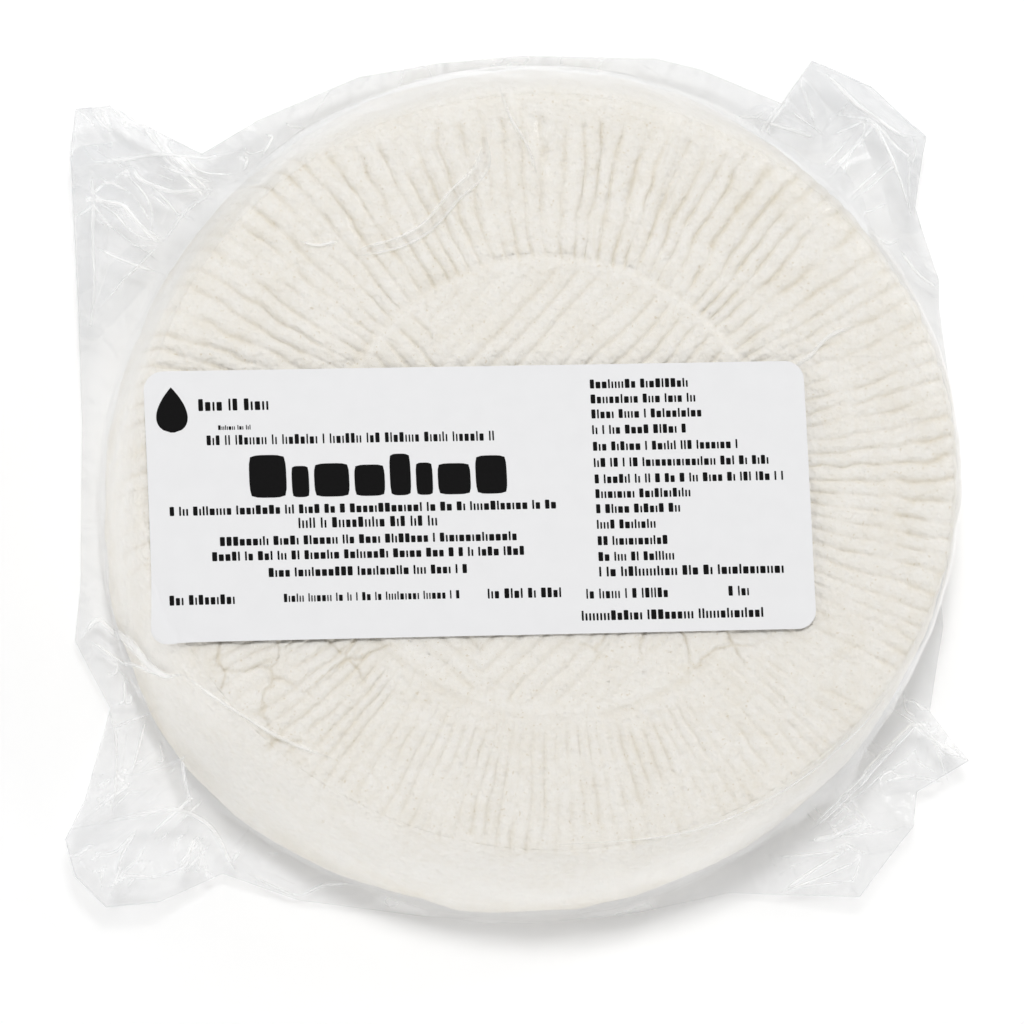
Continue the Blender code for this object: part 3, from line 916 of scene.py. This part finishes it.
def make_ears():
    """Rings of the film's rows from the wheel's foot out to its edge."""
    angle = spread_angles(EAR_SECTORS)
    share = np.linspace(0, 1, EAR_RINGS)[:, None]
    radius, height = ear_rows(angle, share)
    x, y = radius * np.cos(angle), radius * np.sin(angle)
    mesh = ring_mesh("film_ears", turned(radius, angle, height))
    sealed = np.zeros_like(x)
    for middle_x, middle_y, reach in SEALS:
        sealed = np.maximum(sealed, smooth(reach, 0.7 * reach, np.hypot(x - middle_x, y - middle_y)))
    point_values(mesh, "seal", sealed)
    out, round_step = np.gradient(radius, axis=0), np.gradient(angle) * radius
    rise_out, rise_round = np.gradient(height, axis=0) / out, np.gradient(height, axis=1) / round_step
    bend_out, bend_round = np.gradient(rise_out, axis=0) / out, np.gradient(rise_round, axis=1) / round_step
    # White lines along sharp creases: stress whitening and painted highlight.
    lines = smooth(*CREASE_BEND, np.hypot(bend_out, bend_round)) * smooth(-0.3, 0.5, noise(x, y, 5, 90))
    lines = lines * (0.25 + 0.75 * ear_share(angle))
    point_values(mesh, "white_stress_and_painted_light", np.clip(0.02 + 0.08 * sealed + 0.7 * lines, 0, 1))
    folded = crumple(angle, radius)
    slope = np.hypot(np.gradient(folded, axis=0) / out, np.gradient(folded, axis=1) / round_step)
    point_values(mesh, "haze_and_painted_shade", ear_haze_and_shade(angle, share, slope))
    point_values(mesh, "slack", np.ones_like(height))
    return link_object("film_ears", mesh)


def make_under_film():
    """Rings from the film's edge back in under the ears and the base.

    The sheet meets the upper one at its edge and sinks as the cube of the way in. Then it lies low, with
    facets of its own."""
    angle = spread_angles(UNDER_SECTORS)
    share = np.linspace(1, 0, UNDER_RINGS)[:, None]
    inner = BASE_RADIUS + 1.5
    radius = inner + (film_edge(angle) - inner) * share
    ear = ear_share(angle)
    edge = edge_height(angle) + crumple(angle, film_edge(angle)) * (0.12 + 0.88 * ear)
    own = facets((angle * EAR_ARC - radius) / 9, (radius + angle * 30) / 7, 86)
    own = 0.8 * own * 4 * share * (1 - share) * ear
    height = 0.3 + (np.maximum(edge, 0.6) - 0.3) * share ** 3 + np.abs(own)
    base_radius = np.array([BASE_RADIUS - 1.0, 30.0])[:, None]
    rings = np.concatenate([turned(radius, angle, height), turned(base_radius, angle, UNDER_HEIGHT)])
    mesh = ring_mesh("film_under", rings, end=[(AXIS_X, 0, UNDER_HEIGHT)])
    point_values(mesh, "slack", np.ones(rings.shape[:2]))
    # Painted shade: the lower sheet is hazier at the far side and clearer at the near side.
    point_values(mesh, "haze_and_painted_shade", EAR_HAZE * (0.8 + 0.4 * np.sin(angle)) * (0.4 + 0.7 * share))
    return link_object("film_under", mesh)


for sheet in (make_ears(), make_under_film()):
    sheet.data.materials.append(film_material)
    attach(sheet, "root")
    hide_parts("bag")

# ------------------------------------------------------------
# Folds in the film: where there was too much film it has been pinched into narrow pleats and pressed
# flat, over the face as well as in the ears. They are white where they bend, partly stress whitening and
# partly painted highlight.

FOLD_STEPS = 56
SMALL_FOLDS = (  # angle of the ear and half its width in degrees, and how many
    (138, 14, 9), (46, 13, 5), (220, 16, 5), (322, 15, 4),
)


def grid_cells(index):
    """Quads between neighbouring points, from a stack of grids of the points' numbers."""
    corners = index[:, :-1, :-1], index[:, 1:, :-1], index[:, 1:, 1:], index[:, :-1, 1:]
    return np.stack(corners, axis=3).reshape(-1, 4)


def film_level(x, y):
    """Height of the upper film at each place.

    On the face it is over the ribs' crests. Past the face's edge it is read off the rows of the film
    down the side and out in the ears, straight from one row to the next."""
    angle, reach = np.arctan2(y, x), np.hypot(x, y)
    side_radius, side_height, _ = side_rows(angle, np.linspace(0, 1, FILM_SIDE_ROWS)[:-1, None])
    ear_radius, ear_height = ear_rows(angle, np.linspace(0, 1, EAR_RINGS)[:, None])
    radius, height = np.concatenate([side_radius, ear_radius]), np.concatenate([side_height, ear_height])
    row = np.clip((radius < reach).sum(axis=0), 1, len(radius) - 1)
    column = np.arange(x.size)
    before, after = radius[row - 1, column], radius[row, column]
    share = np.clip((reach - before) / np.maximum(after - before, 0.01), 0, 1)
    outside = height[row - 1, column] * (1 - share) + height[row, column] * share
    edge_share = reach / face_edge(angle)
    from_disc = np.hypot(x - DISC_CENTRE[0], y - DISC_CENTRE[1])
    step = DISC_STEP * (smooth(DISC_RADIUS + 4, DISC_RADIUS - 4, from_disc) - 1)
    face = WHEEL_TOP + FILM_LIFT + swell(x, y) + step + 0.12 - rim_sag(edge_share)
    return np.where(edge_share < 1, face, outside)


def route(points, steps):
    """Places and sideways directions along a smooth curve through the points: Catmull and Rom's cubic."""
    points = np.array(points, float)
    ends = np.vstack([2 * points[0] - points[1], points, 2 * points[-1] - points[-2]])
    place = np.linspace(0, len(points) - 1 - 1e-6, steps)
    k, t = np.floor(place).astype(int), (place % 1)[:, None]
    a, b, c, d = ends[k], ends[k + 1], ends[k + 2], ends[k + 3]
    square, cube = 2 * a - 5 * b + 4 * c - d, 3 * b - a - 3 * c + d
    curve = 0.5 * (2 * b + (c - a) * t + square * t ** 2 + cube * t ** 3)
    ahead = np.gradient(curve, axis=0)
    ahead /= np.linalg.norm(ahead, axis=1)[:, None]
    return curve, np.stack([-ahead[:, 1], ahead[:, 0]], axis=1)


def small_folds():
    """Short pleats strewn over the ears. Each runs roughly towards the wheel's axis, and bends a little."""
    rng = np.random.default_rng(92)
    pleats = []
    for middle, spread, count in SMALL_FOLDS:
        for _ in range(count):
            angle = math.radians(middle + rng.uniform(-spread, spread))
            outer, inner = film_edge(np.array([angle]))[0] - 1.5, side_edge(angle) + 1
            if outer - inner < 3:
                continue
            first = rng.uniform(inner + 1, outer)
            last = np.clip(first - rng.uniform(7, 18), inner, outer)
            turn, bend = angle + rng.uniform(-5, 5) / first, angle + rng.uniform(-1, 1) / first
            ways = ((first, angle), (0.5 * (first + last), bend), (last, turn))
            points = tuple((radius * math.cos(way), radius * math.sin(way)) for radius, way in ways)
            pleats.append((rng.uniform(0.35, 0.8), 0.15, rng.uniform(0.2, 0.6), 0, 1, points))
    return tuple(pleats)


def make_folds():
    """A strip for each fold: a flat-topped hump that narrows and sinks to nothing at its ends.

    Wide folds are white along both edges, and narrow ones along the middle, partly from stress and partly as
    painted highlight."""
    across = np.linspace(-1, 1, 9)
    places, tops, whites = [], [], []
    for number, (width, height, white, _, _, points) in enumerate(FOLDS + small_folds()):
        curve, sideways = route(points, FOLD_STEPS)
        end = np.linspace(0, 1, FOLD_STEPS)
        taper = smooth(0, 0.2, end) * smooth(1, 0.8, end)
        arc = np.concatenate([[0], np.cumsum(np.linalg.norm(np.diff(curve, axis=0), axis=1))])
        half = 0.5 * width * (0.35 + 0.65 * taper) * (1 + 0.2 * noise(arc, number, 5, 79))
        bend = 0.15 * noise(arc, number, 4, 80)
        offset = half[:, None] * across + bend[:, None]
        places.append(curve[:, None] + sideways[:, None] * offset[..., None])
        tops.append(height * (1 - np.abs(across) ** 4) * taper[:, None])
        # The fold's white is stress whitening and painted highlight.
        line = 0.25 + smooth(0.35, 0.75, np.abs(across)) if width > 1.4 else smooth(1, 0.3, np.abs(across))
        whites.append(white * line * (taper * (0.75 + 0.45 * noise(arc, number, 4, 81)))[:, None])
    places, tops = np.array(places), np.array(tops)
    x, y = places[..., 0].ravel(), places[..., 1].ravel()
    height = film_level(x, y) + 0.08 + tops.ravel()
    index = np.arange(height.size).reshape(tops.shape)
    points = np.stack([x + AXIS_X, y, height], axis=1)
    mesh = new_mesh("film_folds", points, grid_cells(index)[:, ::-1].tolist())
    mesh.shade_smooth()
    point_values(mesh, "white_stress_and_painted_light", np.array(whites))
    point_values(mesh, "slack", np.full(height.size, 0.8))
    return link_object("film_folds", mesh)


folds = make_folds()
folds.data.materials.append(film_material)
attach(folds, "root")
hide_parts("bag")

# ------------------------------------------------------------
# The label: smooth coated white paper, 5 by 2 inches with round corners, stuck flat on the film. It
# is stiff enough to bridge the ribs, follows the face's slow swell, and bends over its left edge.

LABEL_SIZE = (127.2, 51.8)
LABEL_CENTRE = (-11.6, -6.4)
LABEL_TURN = math.radians(1.9)
LABEL_LEAN = 0.015  # sideways drift of the upper edge, from being smoothed down by hand
LABEL_CORNER = 3.6
LABEL_LIFT = 0.35
LABEL_THICKNESS = 0.15
LABEL_BRIDGE = 1.2  # how much further out than the film it bends over the face's edge
PAPER_WHITE = "#E9E9EA"
PAPER_CLOUD = "#E7E7E8"


def label_place(u, v):
    """Turns a place on the label, in millimetres from its middle, to one on the floor plan of the pack."""
    u = u - LABEL_LEAN * v
    cos, sin = math.cos(LABEL_TURN), math.sin(LABEL_TURN)
    return LABEL_CENTRE[0] + u * cos - v * sin, LABEL_CENTRE[1] + u * sin + v * cos


def paper_height(x, y):
    """Height of the paper's under face: the face's plane, its swell, and its fall past the edge."""
    flat_x = x - AXIS_X
    radius, angle = np.hypot(flat_x, y) - LABEL_BRIDGE, np.arctan2(y, flat_x)
    share = (radius - face_edge(angle)) / (side_edge(angle) - face_edge(angle))
    ripple = 0.05 * noise(x, y, 6, 91)
    level = WHEEL_TOP + LABEL_LIFT + swell(flat_x, y) + ripple - rim_sag(radius / face_edge(angle))
    return level - side_drop(share) * (WHEEL_TOP - SIDE_FOOT)


def slab_faces(shape):
    """Quads of thin closed slabs, from the shape of a stack of grids.

    Each slab has a lower grid and an upper grid, whose numbers follow all the lower ones', and walls."""
    index = np.arange(math.prod(shape)).reshape(shape)
    cells = grid_cells(index)
    sides = [index[:, :, 0], index[:, -1, 1:], index[:, -2::-1, -1], index[:, 0, -2:0:-1]]
    rim = np.concatenate(sides, axis=1)
    after = np.roll(rim, -1, axis=1)
    walls = np.stack([rim, after, after + index.size, rim + index.size], axis=2).reshape(-1, 4)
    return np.concatenate([cells[:, ::-1], cells + index.size, walls])


def make_label():
    """A grid laid on the face, whose columns shorten at its ends by the corners' arcs, made a slab."""
    columns, rows = 170, 72
    bend = LABEL_CORNER * 2 / LABEL_SIZE[0]
    arc = 1 - bend + bend * np.sin(np.linspace(0, 0.5 * math.pi, 9))[1:]
    u = np.concatenate([-arc[::-1], np.linspace(bend - 1, 1 - bend, columns), arc])[:, None]
    u = u * LABEL_SIZE[0] / 2
    past = np.clip(np.abs(u) - (LABEL_SIZE[0] / 2 - LABEL_CORNER), 0, LABEL_CORNER)
    half_height = LABEL_SIZE[1] / 2 - LABEL_CORNER + np.sqrt(LABEL_CORNER ** 2 - past ** 2)
    v = np.linspace(-1, 1, rows) * half_height
    x, y = label_place(u + 0 * v, v)
    under = np.stack([x, y, paper_height(x, y)], axis=2)
    over = under + (0, 0, LABEL_THICKNESS)
    points = np.concatenate([under.reshape(-1, 3), over.reshape(-1, 3)])
    mesh = new_mesh("paper_label", points, slab_faces((1,) + x.shape).tolist())
    mesh.shade_smooth()
    mesh.set_sharp_from_angle(angle=math.radians(40))
    return link_object("paper_label", mesh)


def label_paper():
    """Coated label paper: matt white with a slight sheen and the faintest cloudiness of its fibres."""
    material, tree, output = new_material("coated_label_paper")
    place = add_node(tree, "TexCoord").outputs["Object"]
    cloud = add_node(tree, "TexNoise", {"Vector": place, "Scale": 1 / (4 * MM), "Detail": 4.0})
    fibre = add_node(tree, "TexNoise", {"Vector": place, "Scale": 1 / (0.4 * MM), "Detail": 2.0})
    tint = add_node(tree, "MapRange", {"Value": cloud.outputs["Fac"], "From Min": 0.3, "From Max": 0.7})
    colour = add_node(tree, "Mix", {
        "Factor": tint, "A": linear(PAPER_WHITE), "B": linear(PAPER_CLOUD),
    }, data_type="RGBA")
    bump = add_node(tree, "Bump", {"Height": fibre.outputs["Fac"], "Strength": 0.08, "Distance": 0.05 * MM})
    shader = add_node(tree, "BsdfPrincipled", {
        "Base Color": colour.outputs["Result"], "Roughness": 0.45, "IOR": 1.45,
        "Normal": bump.outputs["Normal"],
    })
    tree.links.new(shader.outputs["BSDF"], output.inputs["Surface"])
    return material


label = make_label()
label.data.materials.append(label_paper())
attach(label, "root")
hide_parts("label")

# ------------------------------------------------------------
# The print on the label: one pass of black ink. A solid milk drop, a heavy heading, and lines of
# small marks in the rhythm of words. They are plain bars and blocks, and spell nothing.

INK_BLACK = "#111011"
INK_DEEP = "#070707"
INK_LIFT = 0.02
CAP = 1.75  # height of the small marks
TEXT_LINES = (  # height on the label, start and end along it, cap height, and how heavy the marks are
    (19.3, -53.4, -39.6, 2.3, 0.5), (14.9, -49.8, -43.6, 0.9, 0.9), (12.5, -52.1, 3.6, 1.9, 0.42),
    (-0.95, -59.7, 14.3, CAP, 0.9), (-3.65, -35.3, -8.7, 2.0, 0.6), (-6.9, -50.4, 6.6, CAP, 0.9),
    (-9.75, -52.0, 8.2, CAP, 0.9), (-13.0, -41.4, -2.4, CAP, 0.9), (-17.9, -60.4, -47.7, 1.9, 0.55),
    (-17.9, -38.7, -3.6, 1.6, 0.5), (-17.9, 0.3, 15.5, 1.9, 0.65), (22.1, 22, 41.5, CAP, 0.8),
    (19.2, 22, 42.7, CAP, 0.8), (16.3, 22, 44.2, CAP, 0.8), (13.25, 22, 40.7, CAP, 0.8),
    (10.05, 22, 50.2, CAP, 0.8), (6.9, 22, 57.0, CAP, 0.8), (3.75, 22, 58.7, CAP, 0.8),
    (0.9, 22, 40.7, CAP, 0.8), (-2.0, 22, 38.6, CAP, 0.8), (-5.0, 22, 33.5, CAP, 0.8),
    (-8.15, 22, 35.7, CAP, 0.8), (-11.2, 22, 37.3, CAP, 0.8), (-14.1, 22, 58.0, 1.9, 0.9),
    (-18.3, 19.3, 35.4, 1.9, 0.45), (-18.3, 46.8, 50.8, 1.9, 0.45), (-22.5, 18.2, 54.6, 1.9, 0.85),
)
MOST_MARKS = 90  # drawn for each line, of which those that fit are kept
HEADING = (  # start and end of each heavy block along the label, and its height
    (-44.3, -37.2, 8.2), (-36.2, -32.9, 6.0), (-31.9, -25.2, 6.4), (-24.2, -18.4, 6.0),
    (-17.4, -13.4, 8.0), (-12.4, -9.2, 6.2), (-8.2, -1.9, 6.0), (-0.9, 5.1, 7.4),
)
HEADING_BOTTOM = 1.3
DROP_FOOT = (-58.5, 14.1)
DROP_HEIGHT = 8.7
DROP_HALF_WIDTH = 3.0
MARK_CELLS = 6


def text_marks():
    """Left, right, bottom and top of every small mark: random stems and blocks, in the rhythm of words.

    A gap follows each mark, and a wider one each word, whose first mark stands tall."""
    chance = np.random.default_rng(5)
    marks = []
    for v, start, end, cap, weight in TEXT_LINES:
        widths = cap * chance.choice([0.2, 0.2, 0.46, 0.52], MOST_MARKS) * (0.6 + 0.5 * weight)
        word_end = chance.random(MOST_MARKS) < 0.17
        steps = widths + cap * np.where(word_end, 0.55, 0.17)
        left = start + np.concatenate([[0], np.cumsum(steps)[:-1]])
        tall = chance.choice([0.74, 0.74, 0.74, 1.0], MOST_MARKS)
        tall[np.concatenate([[0], np.flatnonzero(word_end)[:-1] + 1])] = 1.0
        kept = left + widths <= end
        bottom = v - 0.5 * cap + 0 * left
        marks.append(np.stack([left, left + widths, bottom, bottom + cap * tall], axis=1)[kept])
    return np.concatenate(marks)


def heading_marks():
    """Left, right, bottom and top of the heavy blocks of the heading."""
    blocks = np.array(HEADING)
    bottom = np.full(len(blocks), HEADING_BOTTOM)
    return np.stack([blocks[:, 0], blocks[:, 1], bottom, bottom + blocks[:, 2]], axis=1)


def rounded_blocks(marks, corner):
    """Places on each mark: a square grid, drawn in at its corners.

    Each coordinate is scaled by the root of 1 less half of corner times the fourth power of the other."""
    side = np.linspace(-1, 1, MARK_CELLS + 1)
    s, t = np.meshgrid(side, side, indexing="ij")
    s, t = s * np.sqrt(1 - corner * t ** 4 / 2), t * np.sqrt(1 - corner * s ** 4 / 2)
    u = marks[:, 0, None, None] + (marks[:, 1] - marks[:, 0])[:, None, None] * (s + 1) / 2
    v = marks[:, 2, None, None] + (marks[:, 3] - marks[:, 2])[:, None, None] * (t + 1) / 2
    return u, v


def milk_drop():
    """Places on a drop, which ends in a point at its top.

    Its half width goes as the root of the height, times the height that is left above."""
    side = np.linspace(-1, 1, MARK_CELLS + 1)
    across, up = np.meshgrid(side, np.linspace(0.002, 0.998, MARK_CELLS * 3 + 1), indexing="ij")
    half = DROP_HALF_WIDTH * np.sqrt(up) * (1 - up) / 0.385
    return (DROP_FOOT[0] + half * across)[None], (DROP_FOOT[1] + DROP_HEIGHT * up)[None]


def print_mesh(name, groups):
    """Thin closed slabs of ink that stand half in the paper's upper face, from stacks of grids of places."""
    points, faces, first = [], [], 0
    for u, v in groups:
        x, y = label_place(u, v)
        paper = paper_height(x, y) + LABEL_THICKNESS
        for height in (paper - INK_LIFT, paper + INK_LIFT):
            points.append(np.stack([x, y, height], axis=-1).reshape(-1, 3))
        faces.append(slab_faces(u.shape) + first)
        first += 2 * u.size
    return link_object(name, new_mesh(name, np.concatenate(points), np.concatenate(faces).tolist()))


def printing_ink():
    """Flexographic black: slightly uneven where it has sunk into the coating, with a dull sheen."""
    material, tree, output = new_material("matt_black_printing_ink")
    place = add_node(tree, "TexCoord").outputs["Object"]
    mottle = add_node(tree, "TexNoise", {"Vector": place, "Scale": 1 / (0.5 * MM), "Detail": 2.0})
    colour = add_node(tree, "Mix", {
        "Factor": mottle.outputs["Fac"], "A": linear(INK_DEEP), "B": linear(INK_BLACK),
    }, data_type="RGBA")
    shader = add_node(tree, "BsdfPrincipled", {
        "Base Color": colour.outputs["Result"], "Roughness": 0.6, "IOR": 1.45, "Specular IOR Level": 0.2,
    })
    tree.links.new(shader.outputs["BSDF"], output.inputs["Surface"])
    return material


label_print = print_mesh("label_print", [
    rounded_blocks(text_marks(), 0.2), rounded_blocks(heading_marks(), 0.35), milk_drop(),
])
label_print.data.materials.append(printing_ink())
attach(label_print, "root")
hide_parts("label")
